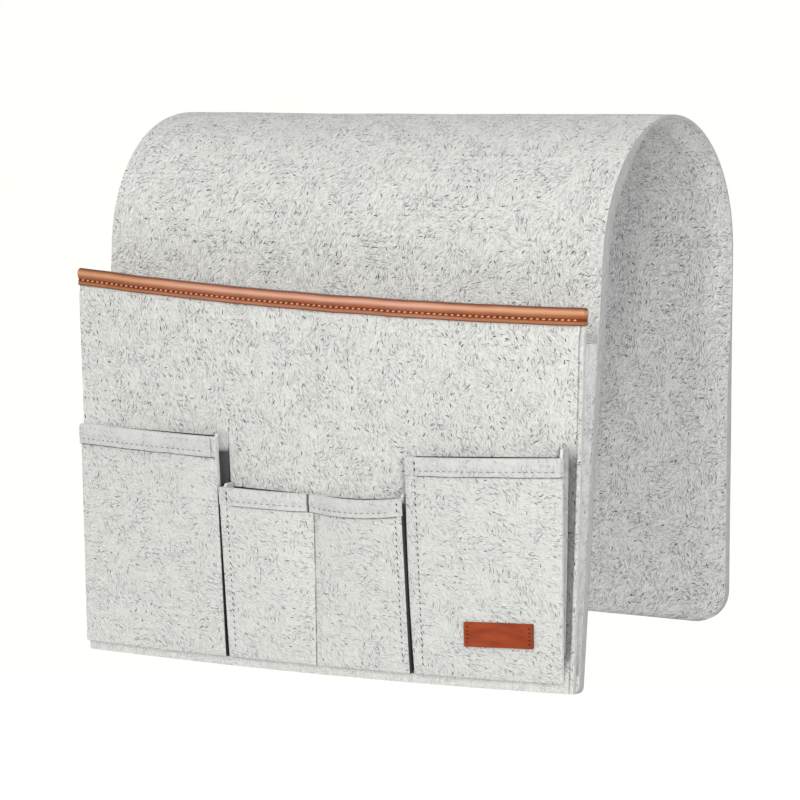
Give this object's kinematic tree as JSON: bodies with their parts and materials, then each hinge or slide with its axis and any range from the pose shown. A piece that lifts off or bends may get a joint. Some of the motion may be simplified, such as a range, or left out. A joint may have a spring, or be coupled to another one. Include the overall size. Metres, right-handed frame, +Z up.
{
  "type": "sofa armrest organizer",
  "caption": "Felt organizer that hangs over a sofa armrest: a draped felt strip whose front carries a leather-bound magazine pocket with smaller sewn pockets on its face.",
  "frame": {"origin": "middle of the strip's crown, on its underside, where it rests on the armrest", "axes": "+X along the armrest, to the viewer's right when facing the pockets; +Y away from the viewer, across the armrest; +Z up"},
  "size_m": [0.33, 0.2312, 0.3152],
  "materials": {
    "felt": "thick light grey melange felt with short dark fibres, dull",
    "gusset_felt": "thinner light grey felt, folded and pressed",
    "binding_leather": "smooth tan brown, satin, stitched with pale thread",
    "label_leather": "dark reddish brown, dull, bare"
  },
  "bodies": {
    "saddle": {"saddle_sheet": "felt", "magazine_left_gusset": "gusset_felt", "magazine_right_gusset": "gusset_felt"},
    "magazine_pocket": {"magazine_front_panel": "felt", "magazine_top_binding": "binding_leather", "left_pocket_panel": "felt", "left_pocket_hem": "felt", "left_pocket_gusset": "gusset_felt", "middle_pocket_panel": "felt", "middle_left_hem": "felt", "middle_right_hem": "felt", "middle_left_pleat": "gusset_felt", "middle_right_pleat": "gusset_felt", "right_pocket_left_gusset": "gusset_felt", "right_pocket_right_gusset": "gusset_felt"},
    "right_pocket": {"right_pocket_panel": "felt", "right_pocket_hem": "felt", "label_patch": "label_leather"}
  },
  "joints": [
    {"name": "magazine_mouth_opening", "type": "hinge", "parent": "saddle", "child": "magazine_pocket", "pos_m": [0, -0.1178, -0.3089], "axis": [1, 0, 0], "range_deg": [-3, 3], "stiffness_Nm_per_rad": 2, "deforming": ["magazine_left_gusset", "magazine_right_gusset"]},
    {"name": "right_pocket_opening", "type": "hinge", "parent": "magazine_pocket", "child": "right_pocket", "pos_m": [0.1089, -0.1212, -0.3003], "axis": [0.9994, 0, 0.0338], "range_deg": [-2, 3], "stiffness_Nm_per_rad": 0.5, "deforming": ["right_pocket_left_gusset", "right_pocket_right_gusset"]}
  ]
}
